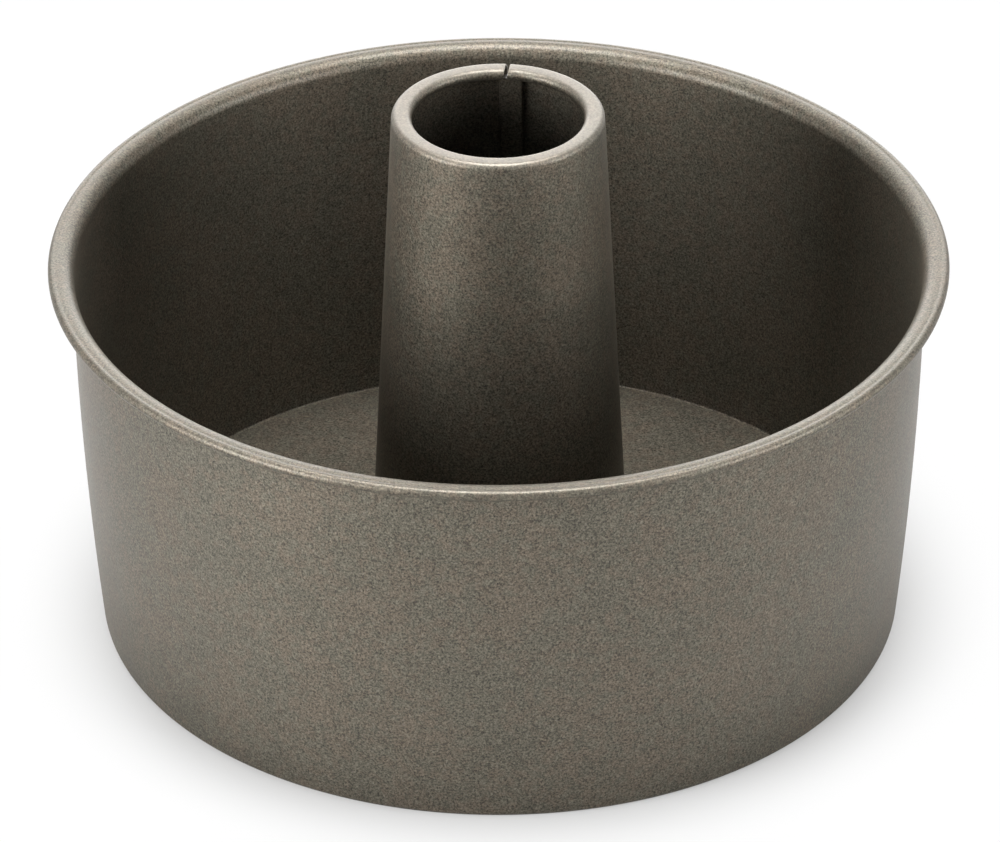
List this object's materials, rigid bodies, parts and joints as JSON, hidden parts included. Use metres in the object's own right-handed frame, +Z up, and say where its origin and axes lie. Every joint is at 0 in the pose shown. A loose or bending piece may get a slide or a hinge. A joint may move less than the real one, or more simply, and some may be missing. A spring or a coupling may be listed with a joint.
{
  "type": "angel food cake pan",
  "caption": "Round tube pan for angel food cake: a tapered sheet-metal wall with a rolled rim, and a loose base plate that lifts out on its tall centre tube.",
  "frame": {"origin": "on the pan's axis, in the plane that it stands on", "axes": "+Z up along the pan's axis, from the standing plane to the tube's mouth; +Y towards the side that carries the tube's lock seam, which is turned a little from +Y towards +X"},
  "size_m": [0.191, 0.191, 0.1186],
  "materials": {
    "coated_wall": "satin non-stick coating with a fine metallic grain, on drawn steel sheet",
    "coated_plate": "satin non-stick coating with a fine metallic grain, on flat steel sheet",
    "coated_tube": "satin non-stick coating with a fine metallic grain, on rolled and lock-seamed steel sheet"
  },
  "bodies": {
    "wall": {"outer_wall": "coated_wall"},
    "lifting_base": {"base_plate": "coated_plate", "centre_tube": "coated_tube"}
  },
  "joints": [
    {"name": "base_lift", "type": "slide", "parent": "wall", "child": "lifting_base", "axis": [0, 0, 1], "range_m": [0, 0.12]}
  ]
}
